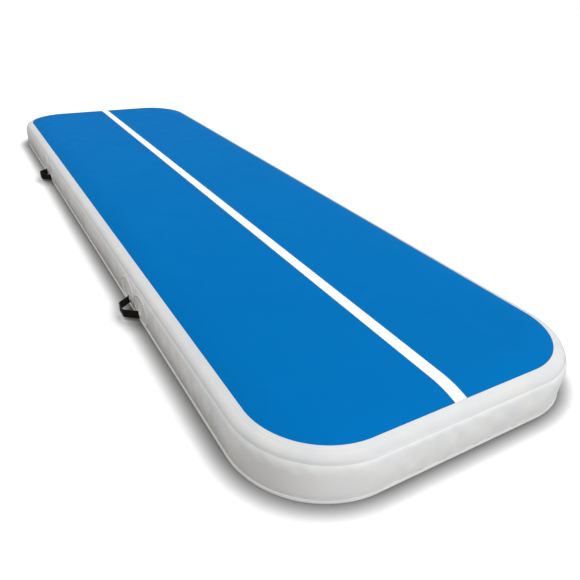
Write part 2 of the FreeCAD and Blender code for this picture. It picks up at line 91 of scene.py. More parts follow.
# ---- Handles: where each is comes from its patches and its strap in the frame ------------------------
HANDLE_Z = 50 * MM
ROOT_HALF = 100 * MM
GRIP_HALF = 42 * MM
STRAP_WIDTH = 50 * MM
STRAP_THICK = 2.8 * MM
STRAP_BEND = 25 * MM
STRAP_START = 2.6 * MM
PATCH_THICK = 2 * MM
BOSS_PROUD = 6 * MM
SLOT_CLEAR = 0.3 * MM
VALVE_PATCH_THICK = 1.5 * MM

Station = namedtuple("Station", "centre out round corner")


# ---- Edge section ------------------------------------------------------------------------------------
def solve_shoulder():
    """Length of the straight slope and radius of the shoulder that join the roll to the wall."""
    top_normal = math.pi / 2 - SLOPE
    drop = ROLL_R * (1 - math.cos(SLOPE))
    across = EDGE_INSET - WALL_R * (1 - math.cos(SHOULDER_END))
    down = HEIGHT - drop - WALL_MID - WALL_R * math.sin(SHOULDER_END)
    arc_across = math.cos(SHOULDER_END) - math.cos(top_normal)
    arc_down = math.sin(top_normal) - math.sin(SHOULDER_END)
    det = math.cos(SLOPE) * arc_down - math.sin(SLOPE) * arc_across
    slope_length = (across * arc_down - down * arc_across) / det
    radius = (math.cos(SLOPE) * down - math.sin(SLOPE) * across) / det
    return slope_length, radius


SLOPE_LENGTH, SHOULDER_R = solve_shoulder()
TOP_NORMAL = math.pi / 2 - SLOPE
FOOT_NORMAL = -math.asin((WALL_MID - WALL_FOOT) / WALL_R)
ROLL_LENGTH = ROLL_R * SLOPE
ROLL_INSET = EDGE_INSET + ROLL_R * math.sin(SLOPE)
WALL_AT = SLOPE_LENGTH + SHOULDER_R * (TOP_NORMAL - SHOULDER_END)
FOOT_AT = WALL_AT + WALL_R * (SHOULDER_END - FOOT_NORMAL)
SHOULDER_X = -WALL_R + (WALL_R - SHOULDER_R) * math.cos(SHOULDER_END)
SHOULDER_Z = WALL_MID + (WALL_R - SHOULDER_R) * math.sin(SHOULDER_END)


def skin(along, lift=0.0):
    """(distance out from a corner's centre, height) of a point of the edge section.

    along: distance down the skin from the blue boundary, negative on the roll. lift: above the skin.
    """
    if along <= 0:
        normal, x, z, r = TOP_NORMAL - along / ROLL_R, -ROLL_INSET, HEIGHT - ROLL_R, ROLL_R
    elif along <= SLOPE_LENGTH:
        start = skin(0, lift)
        return start[0] + along * math.cos(SLOPE), start[1] - along * math.sin(SLOPE)
    elif along <= WALL_AT:
        normal = TOP_NORMAL - (along - SLOPE_LENGTH) / SHOULDER_R
        x, z, r = SHOULDER_X, SHOULDER_Z, SHOULDER_R
    else:
        normal, x, z, r = SHOULDER_END - (along - WALL_AT) / WALL_R, -WALL_R, WALL_MID, WALL_R
    r += lift
    return CORNER_R + x + r * math.cos(normal), z + r * math.sin(normal)


def along_at(height):
    """Distance down the skin at which the shoulder or the wall has a height."""
    if height <= WALL_MID + WALL_R * math.sin(SHOULDER_END):
        return WALL_AT + WALL_R * (SHOULDER_END - math.asin((height - WALL_MID) / WALL_R))
    return SLOPE_LENGTH + SHOULDER_R * (TOP_NORMAL - math.asin((height - SHOULDER_Z) / SHOULDER_R))


def spread(start, end, count):
    """count + 1 evenly spaced values."""
    return [start + (end - start) * i / count for i in range(count + 1)]


def around(count):
    """Evenly spaced angles of a full turn."""
    return [2 * math.pi * k / count for k in range(count)]


def stations(step, corner_steps):
    """Places round the mat, anticlockwise from the near end of the +X side."""
    found = []
    passed = 0.0
    counts = {0: round(2 * CORNER_Y / step), 1: round(2 * CORNER_X / step)}
    corners = [(1, -1), (1, 1), (-1, 1), (-1, -1)]
    for side in range(4):
        a = Vector((corners[side][0] * CORNER_X, corners[side][1] * CORNER_Y, 0))
        b = Vector((corners[(side + 1) % 4][0] * CORNER_X, corners[(side + 1) % 4][1] * CORNER_Y, 0))
        turn = math.pi / 2 * side
        out = Vector((math.cos(turn), math.sin(turn), 0))
        length = (b - a).length
        for i in range(counts[side % 2]):
            share = i / counts[side % 2]
            found.append(Station(a.lerp(b, share), out, passed + length * share, 0.0))
        passed += length
        for i in range(corner_steps):
            angle = turn + math.pi / 2 * i / corner_steps
            bent = math.sin(math.pi * i / corner_steps)
            out = Vector((math.cos(angle), math.sin(angle), 0))
            found.append(Station(b, out, passed + CORNER_R * (angle - turn), bent))
        passed += CORNER_R * math.pi / 2
    return found


# ---- Mesh helpers ------------------------------------------------------------------------------------
def mesh_piece(name, points, faces, material, sharp=40, merge=0.0):
    """Object of the given faces, shaded smooth except across edges sharper than an angle.

    merge: points closer together than this become one.
    """
    mesh = bpy.data.meshes.new(name)
    mesh.from_pydata([tuple(p) for p in points], [], faces)
    shape = bmesh.new()
    shape.from_mesh(mesh)
    if merge:
        bmesh.ops.remove_doubles(shape, verts=shape.verts, dist=merge)
    bmesh.ops.recalc_face_normals(shape, faces=shape.faces)
    shape.to_mesh(mesh)
    shape.free()
    mesh.shade_smooth()
    mesh.set_sharp_from_angle(angle=math.radians(sharp))
    mesh.materials.append(material)
    piece = bpy.data.objects.new(name, mesh)
    bpy.context.scene.collection.objects.link(piece)
    return piece


def loft(loops, closed):
    """Points and quads that join loops of equal length, each to the next.

    closed: the last loop joins the first. If not, both ends are capped.
    """
    count = len(loops[0])
    points = [p for loop in loops for p in loop]
    faces = []
    for i in range(len(loops) if closed else len(loops) - 1):
        a = i * count
        b = (i + 1) % len(loops) * count
        for j in range(count):
            k = (j + 1) % count
            faces.append((a + j, b + j, b + k, a + k))
    if not closed:
        faces.append(tuple(reversed(range(count))))
        faces.append(tuple(range(len(points) - count, len(points))))
    return points, faces


def place(station, section_point):
    """Point in the mat of a point (distance out, height) of the section at a station."""
    out, z = section_point
    return station.centre + station.out * out + Vector((0, 0, z))


def ring_piece(name, loop, places, material, swell=None):
    """Carry a closed loop of (distance along the skin, lift) right round the mat.

    swell: extra lift of a point, from the index of its place and its distance along the skin.
    """
    loops = []
    for index, station in enumerate(places):
        if swell:
            loops.append([place(station, skin(s, lift + swell(index, s))) for s, lift in loop])
        else:
            loops.append([place(station, skin(s, lift)) for s, lift in loop])
    return mesh_piece(name, *loft(loops, True), material)


def band(alongs, outer, inner):
    """Loop of a layer between two lifts."""
    return [(s, outer) for s in alongs] + [(s, inner) for s in reversed(alongs)]


def bump(value, centre, width):
    """Smooth hump, 1 at its centre and near 0 a width away."""
    return math.exp(-((value - centre) / width * 1.6) ** 2)


def smooth_step(value, low, high):
    """Smooth rise from 0 at low to 1 at high."""
    t = min(1.0, max(0.0, (value - low) / (high - low)))
    return t * t * (3 - 2 * t)


# ---- Materials ---------------------------------------------------------------------------------------
def new_material(name, colour, roughness, specular=0.5):
    material = bpy.data.materials.new(name)
    material.use_nodes = True
    shader = material.node_tree.nodes["Principled BSDF"]
    shader.inputs["Base Color"].default_value = (*colour, 1)
    shader.inputs["Roughness"].default_value = roughness
    shader.inputs["Specular IOR Level"].default_value = specular
    return material, material.node_tree, shader


def add_node(tree, kind, settings=(), values=()):
    node = tree.nodes.new(kind)
    for key, value in dict(settings).items():
        setattr(node, key, value)
    for key, value in dict(values).items():
        node.inputs[key].default_value = value
    return node


def object_point(tree, stretch=(1, 1, 1)):
    """Output of the object's own coordinates, stretched along each axis."""
    where = add_node(tree, "ShaderNodeTexCoord")
    mapping = add_node(tree, "ShaderNodeMapping", values={"Scale": stretch})
    tree.links.new(where.outputs["Object"], mapping.inputs["Vector"])
    return mapping.outputs["Vector"]


def add_noise(tree, scale, detail=3.0, stretch=(1, 1, 1), rough=0.5):
    values = {"Scale": scale, "Detail": detail, "Roughness": rough}
    node = add_node(tree, "ShaderNodeTexNoise", values=values)
    tree.links.new(object_point(tree, stretch), node.inputs["Vector"])
    return node.outputs["Fac"]


def add_ramp(tree, source, stops):
    """Colour ramp over (position, colour) stops."""
    node = add_node(tree, "ShaderNodeValToRGB")
    ramp = node.color_ramp
    while len(ramp.elements) < len(stops):
        ramp.elements.new(0.5)
    for element, (position, colour) in zip(ramp.elements, stops):
        element.position = position
        element.color = (*colour, 1)
    tree.links.new(source, node.inputs["Fac"])
    return node.outputs["Color"]


def grey(value):
    return (value, value, value)


def vary_roughness(tree, shader, source, low, high):
    value = add_ramp(tree, source, [(0.3, grey(low)), (0.7, grey(high))])
    tree.links.new(value, shader.inputs["Roughness"])


def add_bumps(tree, shader, layers):
    """Chain of bumps, each (height source, strength, distance)."""
    before = None
    for source, strength, distance in layers:
        node = add_node(tree, "ShaderNodeBump", values={"Strength": strength, "Distance": distance})
        tree.links.new(source, node.inputs["Height"])
        if before:
            tree.links.new(before, node.inputs["Normal"])
        before = node.outputs["Normal"]
    tree.links.new(before, shader.inputs["Normal"])


def sheet_material(name, low, high, roughness):
    """Coated drop-stitch fabric: fine grain, rows of stitches and faint colour drift."""
    material, tree, shader = new_material(name, high, roughness, 0.01)
    drift = add_noise(tree, 1.3, 4.0)
    tree.links.new(add_ramp(tree, drift, [(0.35, low), (0.65, high)]), shader.inputs["Base Color"])
    vary_roughness(tree, shader, add_noise(tree, 9.0, 5.0), roughness - 0.05, roughness + 0.06)
    rows = add_node(
        tree, "ShaderNodeTexWave",
        {"wave_type": "BANDS", "bands_direction": "X"},
        {"Scale": 60.0, "Distortion": 1.2, "Detail": 1.0, "Detail Scale": 2.0},
    )
    tree.links.new(object_point(tree), rows.inputs["Vector"])
    grain = add_noise(tree, 700.0, 2.0)
    add_bumps(tree, shader, [(rows.outputs["Fac"], 0.05, 0.3 * MM), (grain, 0.12, 0.25 * MM)])
    return material


def remap(tree, source, start, end, low, high):
    """Value that runs from low to high while its source runs from start to end."""
    values = {"From Min": start, "From Max": end, "To Min": low, "To Max": high}
    node = add_node(tree, "ShaderNodeMapRange", values=values)
    tree.links.new(source, node.inputs["Value"])
    return node.outputs["Result"]


def combine(tree, operation, a, b):
    node = add_node(tree, "ShaderNodeMath", {"operation": operation})
    tree.links.new(a, node.inputs[0])
    tree.links.new(b, node.inputs[1])
    return node.outputs["Value"]


# Painted shade: the wall's colour grows slightly darker and warmer towards the floor.
FOOT_SHADE = [(0.05, (0.985, 0.98, 0.975)), (0.3, (0.99, 0.99, 0.985)), (0.7, grey(1.0))]
# Painted shade: along the mat's left side, away from the key light, the wall grows much darker towards
# the floor.
LEFT_SIDE_SHADE = [(0.04, (0.60, 0.57, 0.545)), (0.26, (0.80, 0.775, 0.755)), (0.56, grey(1.0))]


def painted_foot_shade(tree, clean):
    """A colour darkened by painted shade towards the floor, most along the mat's left side."""
    at = add_node(tree, "ShaderNodeSeparateXYZ")
    tree.links.new(object_point(tree), at.inputs["Vector"])
    height = remap(tree, at.outputs["Z"], 0.0, HEIGHT, 0.0, 1.0)
    rise = remap(tree, add_noise(tree, 5.0, 2.0), 0.3, 0.7, -0.1, 0.1)
    uneven = combine(tree, "ADD", height, rise)
    left = remap(tree, at.outputs["X"], -HALF_WIDTH + 0.04, -HALF_WIDTH + 0.2, 1.0, 0.0)
    behind_corner = remap(tree, at.outputs["Y"], -CORNER_Y - 0.15, -CORNER_Y + 0.25, 0.25, 1.0)
    # Painted shade: this mix blends the slight darkening near the floor into the strong one on the left
    # side.
    tone_blend = add_node(tree, "ShaderNodeMix", {"data_type": "RGBA"})
    tree.links.new(combine(tree, "MULTIPLY", left, behind_corner), tone_blend.inputs["Factor"])
    tree.links.new(add_ramp(tree, uneven, FOOT_SHADE), tone_blend.inputs["A"])
    tree.links.new(add_ramp(tree, uneven, LEFT_SIDE_SHADE), tone_blend.inputs["B"])
    multiply = {"data_type": "RGBA", "blend_type": "MULTIPLY"}
    mix = add_node(tree, "ShaderNodeMix", multiply, {"Factor": 1.0})
    tree.links.new(clean, mix.inputs["A"])
    tree.links.new(tone_blend.outputs["Result"], mix.inputs["B"])
    return mix.outputs["Result"]


def vinyl_material(name, low, high, roughness, coat, creases, shaded_foot=False):
    """Smooth coated fabric with cool and warm blotches and soft creases, and optionally painted shade
    towards the floor.
    """
    material, tree, shader = new_material(name, high, roughness, 0.12)
    shader.inputs["Coat Weight"].default_value = coat
    shader.inputs["Coat Roughness"].default_value = 0.25
    blotches = add_noise(tree, 7.0, 3.0)
    colour = add_ramp(tree, blotches, [(0.36, low), (0.62, high)])
    tree.links.new(painted_foot_shade(tree, colour) if shaded_foot else colour, shader.inputs["Base Color"])
    vary_roughness(tree, shader, add_noise(tree, 14.0, 4.0), roughness - 0.06, roughness + 0.08)
    wrinkle = add_noise(tree, 11.0, 3.0, (1, 1, 0.45))
    grain = add_noise(tree, 900.0, 2.0)
    add_bumps(tree, shader, [(wrinkle, creases, 4 * MM), (grain, 0.08, 0.2 * MM)])
    return material


def webbing_material():
    """Black woven polyester: sheen on the ribs, dusty high spots."""
    material, tree, shader = new_material("webbing_black", grey(0.006), 0.62, 0.2)
    shader.inputs["Sheen Weight"].default_value = 0.06
    shader.inputs["Sheen Roughness"].default_value = 0.4
    tone_blend = add_noise(tree, 60.0, 4.0)
    stops = [(0.4, (0.004, 0.005, 0.004)), (0.75, (0.011, 0.011, 0.009))]
    tree.links.new(add_ramp(tree, tone_blend, stops), shader.inputs["Base Color"])
    vary_roughness(tree, shader, add_noise(tree, 200.0, 3.0), 0.52, 0.72)
    add_bumps(tree, shader, [(add_noise(tree, 1500.0, 2.0), 0.3, 0.15 * MM)])
    return material


def plastic_material(name, low, high, roughness, coat=0.0):
    """Moulded plastic or rubber: faint flow marks and a fine spark texture."""
    material, tree, shader = new_material(name, high, roughness)
    shader.inputs["Coat Weight"].default_value = coat
    flow = add_noise(tree, 40.0, 3.0)
    tree.links.new(add_ramp(tree, flow, [(0.35, low), (0.7, high)]), shader.inputs["Base Color"])
    vary_roughness(tree, shader, add_noise(tree, 120.0, 3.0), roughness - 0.05, roughness + 0.08)
    add_bumps(tree, shader, [(add_noise(tree, 1800.0, 2.0), 0.15, 0.1 * MM)])
    return material


def steel_material():
    material, tree, shader = new_material("spring_wire", grey(0.55), 0.3)
    shader.inputs["Metallic"].default_value = 1.0
    tint = add_ramp(tree, add_noise(tree, 300.0, 3.0), [(0.3, grey(0.42)), (0.7, grey(0.62))])
    tree.links.new(tint, shader.inputs["Base Color"])
    vary_roughness(tree, shader, add_noise(tree, 800.0, 2.0), 0.22, 0.4)
    return material


BLUE = sheet_material("blue_sheet", (0.0, 0.150, 0.445), (0.0, 0.155, 0.455), 0.6)
UNDERSIDE = sheet_material("grey_sheet", grey(0.42), grey(0.48), 0.55)
STRIPE = sheet_material("white_paint", grey(0.90), grey(0.95), 0.4)
# The wall's colour carries painted shade towards the floor, strongest on the left side.
WALL_LOOK = vinyl_material(
    "white_vinyl", (0.83, 0.845, 0.86), (0.875, 0.87, 0.86), 0.42, coat=0.04, creases=0.15, shaded_foot=True)
# Painted shade: the seam tape and the rim strip get a darker white than the wall, to tone down the
# light on their upward-facing faces.
TAPE_LOOK = vinyl_material(
    "white_seam_tape", (0.65, 0.66, 0.67), (0.69, 0.69, 0.685), 0.34, coat=0.08, creases=0.05)
RIM_LOOK = vinyl_material(
    "white_rim_strip", (0.70, 0.70, 0.71), (0.76, 0.76, 0.75), 0.4, coat=0.03, creases=0.05)
PATCH_LOOK = vinyl_material(
    "moulded_patch_white", (0.77, 0.76, 0.735), (0.83, 0.82, 0.80), 0.3, coat=0.15, creases=0.05)
YARN_LOOK = plastic_material("polyester_yarn", grey(0.62), grey(0.74), 0.6)
WEBBING = webbing_material()
PLASTIC = plastic_material("valve_plastic_grey", grey(0.30), grey(0.36), 0.38, 0.1)
RUBBER = plastic_material("valve_rubber_dark", grey(0.035), grey(0.055), 0.55)
STEEL = steel_material()


# ---- Layers of the mat -------------------------------------------------------------------------------
WALL_PLACES = stations(16 * MM, 44)
COARSE_PLACES = stations(60 * MM, 16)
WALL_ROWS = 26
PUCKER_DEPTH = 1.6 * MM  # short waves of the wall's slack
PUCKER_SCALE = 17
DRAPE_DEPTH = 3.2 * MM  # long waves of it
DRAPE_SCALE = 2.6
HANDLE_HOLD = (0.25, 0.36)  # from a handle's middle: flat wall up to the first, free past the second
VALVE_HOLD = (0.06, 0.14)
SWELL_CAP = 5 * MM
SWELL_FADE = 34 * MM  # the wall is flat at the tape and fully uneven this far below it
CLOTH_FRAMES = 20
CLOTH_ROWS = spread(TAPE_WIDTH - 4 * MM, FOOT_AT, 20)
VALVE_LOW, VALVE_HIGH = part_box("valve_patch")
VALVE_CENTRE = (VALVE_LOW + VALVE_HIGH) / 2


def middle_y(node):
    """Y of the middle of a CAD node."""
    low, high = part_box(node)
    return (low.y + high.y) / 2


HANDLE_YS = [middle_y("handle_right_front_strap"), middle_y("handle_right_back_strap")]


def calm(point):
    """0 where welded pieces hold the wall flat, 1 away from them."""
    still = 1.0
    for y in HANDLE_YS:
        if abs(point.x) > HALF_WIDTH - EDGE_INSET:
            still = min(still, smooth_step(abs(point.y - y), *HANDLE_HOLD))
    if point.y > HALF_LENGTH - EDGE_INSET:
        still = min(still, smooth_step(abs(point.x - VALVE_CENTRE.x), *VALVE_HOLD))
    return still


def slack(index, along):
    """Unevenness of the wall's fabric before the air stretches it: broad waves and puckers."""
    station = WALL_PLACES[index]
    out, z = skin(along)
    point = place(station, (out, z))
    free = smooth_step(along, TAPE_WIDTH - 4 * MM, TAPE_WIDTH + 24 * MM)
    free *= smooth_step(FOOT_AT - along, 12 * MM, 40 * MM)
    wide = Vector((point.x * DRAPE_SCALE, point.y * DRAPE_SCALE, z * 5))
    tight = Vector((point.x * PUCKER_SCALE, point.y * PUCKER_SCALE, z * 4 + 7))
    uneven = noise.noise(wide) * DRAPE_DEPTH + noise.noise(tight) * PUCKER_DEPTH
    return uneven * (0.6 + 1.7 * station.corner) * free * calm(point)


def air_up():
    """Blow the wall's fabric up as cloth; return how far each of its points ends up out or in."""
    rows = len(CLOTH_ROWS)
    flat, start, normals, free = [], [], [], []
    for index, station in enumerate(WALL_PLACES):
        for row, along in enumerate(CLOTH_ROWS):
            at = place(station, skin(along))
            normal = (place(station, skin(along, 1.0)) - at).normalized()
            flat.append(at)
            normals.append(normal)
            start.append(at + normal * slack(index, along))
            free.append(calm(at) if 0 < row < rows - 1 else 0.0)
    count = len(WALL_PLACES)
    faces = []
    for i in range(count):
        a, b = i * rows, (i + 1) % count * rows
        faces += [(a + j, b + j, b + j + 1, a + j + 1) for j in range(rows - 1)]
    fabric = mesh_piece("fabric", start, faces, WALL_LOOK, 180)
    held = fabric.vertex_groups.new(name="held")
    for k, share in enumerate(free):
        held.add([k], 1 - share, "REPLACE")
    cloth = fabric.modifiers.new("air", "CLOTH")
    rules = cloth.settings
    rules.quality = 6
    rules.mass = 0.3
    rules.tension_stiffness = rules.compression_stiffness = 18
    rules.bending_stiffness = 0.3
    rules.shrink_min = -0.008
    rules.use_pressure = True
    rules.uniform_pressure_force = 4
    rules.vertex_group_mass = "held"
    rules.effector_weights.gravity = 0
    cloth.point_cache.frame_end = CLOTH_FRAMES
    for step in range(1, CLOTH_FRAMES + 1):
        bpy.context.scene.frame_set(step)
    settled = fabric.evaluated_get(bpy.context.evaluated_depsgraph_get()).data
    moved = [(v.co - at).dot(normal) for v, at, normal in zip(settled.vertices, flat, normals)]
    bpy.context.scene.frame_set(1)
    bpy.data.objects.remove(fabric)
    table = [moved[i * rows:(i + 1) * rows] for i in range(count)]
    loose = [i for i in range(count) if free[i * rows + 1] > 0.99]
    for row in range(rows):
        mean = sum(table[i][row] for i in loose) / len(loose)
        for i in range(count):
            move = table[i][row] - mean * free[i * rows + row]
            table[i][row] = max(-SWELL_CAP, min(SWELL_CAP, move))
    return table


def wall_swell(index, along):
    """How far the inflated wall stands out or in at a point, read from the blown-up fabric."""
    share = (along - CLOTH_ROWS[0]) / (CLOTH_ROWS[-1] - CLOTH_ROWS[0]) * (len(CLOTH_ROWS) - 1)
    if share <= 0:
        return 0.0
    row = min(int(share), len(CLOTH_ROWS) - 2)
    low, high = SWELL[index][row], SWELL[index][row + 1]
    fade = smooth_step(along, TAPE_WIDTH, TAPE_WIDTH + SWELL_FADE)
    return (low + (high - low) * (share - row)) * fade


SWELL = air_up()


def side_wall():
    alongs = spread(TOP_UNDER_TAPE + SEAM_STEP, FOOT_AT, WALL_ROWS)
    return ring_piece("side_wall", band(alongs, 0, -WALL), WALL_PLACES, WALL_LOOK, wall_swell)


def inner_wall():
    depth = WALL + GLUE
    alongs = spread(TOP_UNDER_TAPE + 2 * SEAM_STEP, FOOT_AT, WALL_ROWS)
    loop = band(alongs, -depth, -depth - WALL)
    return ring_piece("inner_side_wall", loop, WALL_PLACES, WALL_LOOK, wall_swell)


def seam_relief(along):
    """Welded ridges at the tape's upper edge and where the blue ends under it."""
    at_edge = 0.9 * MM * bump(along, 4 * MM, 4 * MM)
    over_blue = 0.6 * MM * bump(along, TOP_UNDER_TAPE + 2 * MM, 5 * MM)
    return at_edge + over_blue


def tape_edge(along):
    """1 on the tape, falling to 0 at its lower edge, which is pressed down onto the wall."""
    return 1 - smooth_step(along, TAPE_WIDTH - 16 * MM, TAPE_WIDTH)


def tape_creep(index, along):
    """How far the tape lifts in small waves, most at the corners."""
    station = WALL_PLACES[index]
    point = place(station, skin(along))
    wave = 0.5 + 0.5 * noise.noise(Vector((point.x * 16, point.y * 16, along * 20)))
    lift = wave * 0.4 * MM * (0.1 + station.corner) * smooth_step(along, 8 * MM, 40 * MM)
    return lift * tape_edge(along)


def seam_tape():
    top, bottom = 0.15 * MM, 0.05 * MM  # heights of the tape's two faces at its lower edge
    alongs = spread(0, TAPE_WIDTH, 38)
    loop = [(s, top + (GLUE + TAPE + seam_relief(s) - top) * tape_edge(s)) for s in alongs]
    loop += [(s, bottom + (GLUE - bottom) * tape_edge(s)) for s in reversed(alongs)]
    return ring_piece("seam_tape", loop, WALL_PLACES, TAPE_LOOK, tape_creep)


def rim_strip():
    """Flange under the mat with a bead that stands up outside the foot of the wall."""
    gap = GLUE / 2
    foot = skin(FOOT_AT)[0]
    crest = skin(FOOT_AT - (BEAD_HEIGHT - WALL_FOOT), gap)
    outline = [
        (CORNER_R - FLANGE, 0.0),
        (CORNER_R - 4 * MM, 0.0),
        (CORNER_R - 2 * MM, 0.4 * MM),
        (CORNER_R - 1.2 * MM, 2 * MM),
        (CORNER_R - 1.6 * MM, 6 * MM),
        (CORNER_R - 3 * MM, 10 * MM),
        ((CORNER_R - 3 * MM + crest[0]) / 2, 13 * MM),
        crest,
        skin(FOOT_AT - 5 * MM, gap),
        (foot + GLUE, WALL_FOOT),
        (foot + GLUE, SHEET),
        (CORNER_R - FLANGE, SHEET),
    ]
    loops = []
    for station in WALL_PLACES:
        point = place(station, (CORNER_R, 0))
        wave = noise.noise(Vector((point.x * 7, point.y * 7, 3)))
        loop = []
        for out, z in outline:
            free = smooth_step(out, CORNER_R - 6 * MM, CORNER_R) * smooth_step(z, 1 * MM, 8 * MM)
            loop.append(place(station, (out + wave * 1.2 * MM * free, z + wave * 0.6 * MM * free)))
        loops.append(loop)
    return mesh_piece("rim_strip", *loft(loops, True), RIM_LOOK, 50)


def lap_strips():
    """Reinforcing strips inside the mat, behind the top seam and on the underside's edge."""
    lift = -(2 * WALL + 2 * GLUE)
    upper = band(spread(-LAP_ABOVE, LAP_BELOW, 18), lift - GLUE, lift - GLUE - TAPE)
    top = ring_piece("top_lap", upper, COARSE_PLACES, TAPE_LOOK)
    low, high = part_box("bottom_lap_strip")
    outer = CORNER_R - (HALF_WIDTH - high.x)
    inner = CORNER_R - EDGE_INSET
    outline = [(inner, low.z), (outer, low.z), (outer, high.z), (inner, high.z)]
    loops = [[place(s, p) for p in outline] for s in COARSE_PLACES]
    bottom = mesh_piece("bottom_lap", *loft(loops, True), TAPE_LOOK)
    return top, bottom


def filled_sheet(name, places, upper, lower, material):
    """Sheet whose rim follows the mat's plan.

    upper, lower: (out from the corner centres, height) points of its two faces, from inside to the rim.
    """
    chain = [(0.0, upper[0][1])] + upper + lower[::-1] + [(0.0, lower[0][1])]
    points = []
    faces = []
    count = len(chain)
    for station in places:
        points += [place(station, p) for p in chain]
    for i in range(len(places)):
        a, b = i * count, (i + 1) % len(places) * count
        for j in range(count - 1):
            faces.append((a + j, b + j, b + j + 1, a + j + 1))
    across = sorted({round(s.centre.x, 6) for s in places})
    along = sorted({round(s.centre.y, 6) for s in places})
    for z in (chain[0][1], chain[-1][1]):
        base = len(points)
        points += [Vector((x, y, z)) for y in along for x in across]
        for r in range(len(along) - 1):
            for c in range(len(across) - 1):
                k = base + r * len(across) + c
                faces.append((k, k + 1, k + 1 + len(across), k + len(across)))
    return mesh_piece(name, points, faces, material, merge=0.02 * MM)


def top_panel():
    places = stations(34 * MM, 24)
    flat = [(x, HEIGHT) for x in spread(0.05, CORNER_R - ROLL_INSET, 4)[:-1]]
    alongs = spread(-ROLL_LENGTH, 0, 14) + spread(0, TOP_UNDER_TAPE, 3)[1:]
    upper = flat + [skin(s) for s in alongs]
    lower = [(x, HEIGHT - SHEET) for x, z in flat] + [skin(s, -SHEET) for s in alongs]
    return filled_sheet("top_panel", places, upper, lower, BLUE)


def underside():
    places = stations(80 * MM, 16)
    outs = spread(0.1, CORNER_R - FLANGE - 0.5 * MM, 3)
    upper = [(x, SHEET) for x in outs]
    lower = [(x, 0.0) for x in outs]
    return filled_sheet("underside_sheet", places, upper, lower, UNDERSIDE)


def centre_band():
    """Thin band down the middle of the top, following the roll at both ends."""
    low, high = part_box("centre_stripe")
    half = (high.x - low.x) / 2
    top = STRIPE_LIFT + STRIPE_THICK
    run = []
    for along in spread(-ROLL_LENGTH, -1 * MM, 14):
        out, z = skin(along)
        run.append((CORNER_Y + out, z, TOP_NORMAL - along / ROLL_R))
    flat = [(y, HEIGHT, math.pi / 2) for y in spread(-run[0][0], run[0][0], 120)[1:-1]]
    line = [(-y, z, math.pi - n) for y, z, n in reversed(run)] + flat + run
    across = [
        (-half, STRIPE_LIFT), (-half, top * 0.8), (-half + 0.4 * MM, top), (half - 0.4 * MM, top),
        (half, top * 0.8), (half, STRIPE_LIFT),
    ]
    loops = []
    for y, z, normal in line:
        up = Vector((0, math.cos(normal), math.sin(normal)))
        loops.append([Vector((x, y, z)) + up * h for x, h in across])
    return mesh_piece("centre_band", *loft(loops, False), STRIPE, 60)


def yarns():
    """The threads that hold the two faces apart, each of two plies twisted together."""
    low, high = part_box("drop_stitch_yarns")
    columns, rows, yarn_r = 5, 13, 1.5 * MM
    ply_r, ply_out, twist, steps = 0.8 * MM, 0.7 * MM, 18.0, 24
    ring = [Vector((math.cos(a), math.sin(a), 0)) * ply_r for a in around(6)]
    points = []
    faces = []
    for x in spread(low.x + yarn_r, high.x - yarn_r, columns - 1):
        for y in spread(low.y + yarn_r, high.y - yarn_r, rows - 1):
            for ply in range(2):
                loops = []
                for z in spread(low.z, high.z, steps):
                    turn = twist * (z - low.z) / (high.z - low.z) + math.pi * ply
                    middle = Vector((x + ply_out * math.cos(turn), y + ply_out * math.sin(turn), z))
                    loops.append([middle + p for p in ring])
                more, quads = loft(loops, False)
                faces += [tuple(len(points) + k for k in quad) for quad in quads]
                points += more
    return mesh_piece("drop_threads", points, faces, YARN_LOOK)


# ---- Patches welded on a straight wall ---------------------------------------------------------------
Wall = namedtuple("Wall", "centre out sideways")
WALLS = {
    "right": Wall(Vector((CORNER_X, 0, 0)), Vector((1, 0, 0)), Vector((0, 1, 0))),
    "left": Wall(Vector((-CORNER_X, 0, 0)), Vector((-1, 0, 0)), Vector((0, 1, 0))),
    "far": Wall(Vector((0, CORNER_Y, 0)), Vector((0, 1, 0)), Vector((1, 0, 0))),
}


def wall_point(wall, sideways, height, lift):
    """Point above a straight wall's skin, given how far along the wall it is and its height."""
    out, z = skin(along_at(height), lift)
    return wall.centre + wall.out * out + wall.sideways * sideways + Vector((0, 0, z))


def patch_piece(name, wall, hole, rim, profile, material, shares):
    """Sheet between a hole's outline and a rim's. profile: its height at each share of the way out."""
    loops = []
    for (ha, hb), (ra, rb) in zip(hole, rim):
        front = [(ha + (ra - ha) * t, hb + (rb - hb) * t, profile(t)) for t in shares]
        back = [(ha + (ra - ha) * t, hb + (rb - hb) * t, GLUE) for t in (1.0, 0.5, 0.0)]
        loops.append([wall_point(wall, a, b, h) for a, b, h in front + back])
    return mesh_piece(name, *loft(loops, True), material, 50)


def ellipse(centre, half, angles):
    return [(centre[0] + half[0] * math.cos(a), centre[1] + half[1] * math.sin(a)) for a in angles]


def slot_outline(centre, half, angles):
    """Outline of a slot with square-cut ends, met by rays at the given angles."""
    found = []
    for a in angles:
        c, s = math.cos(a), math.sin(a)
        reach = min(half[0] / max(abs(c), 1e-9), half[1] / max(abs(s), 1e-9))
        found.append((centre[0] + reach * c, centre[1] + reach * s))
    return found


def handle_profile(t):
    """Height of a handle patch above the skin: boss at the slot, rings round it, raised outline."""
    plate = GLUE + PATCH_THICK
    boss = BOSS_PROUD * (1 - smooth_step(t, 0.10, 0.17))
    rings = 1.1 * MM * sum(bump(t, at, 0.045) for at in (0.27, 0.39, 0.51))
    outline = 3.0 * MM * bump(t, 0.92, 0.05)
    edge = smooth_step(t, 0.96, 1.0)
    return (plate + boss + rings + outline) * (1 - edge) + (GLUE + 0.3 * MM) * edge


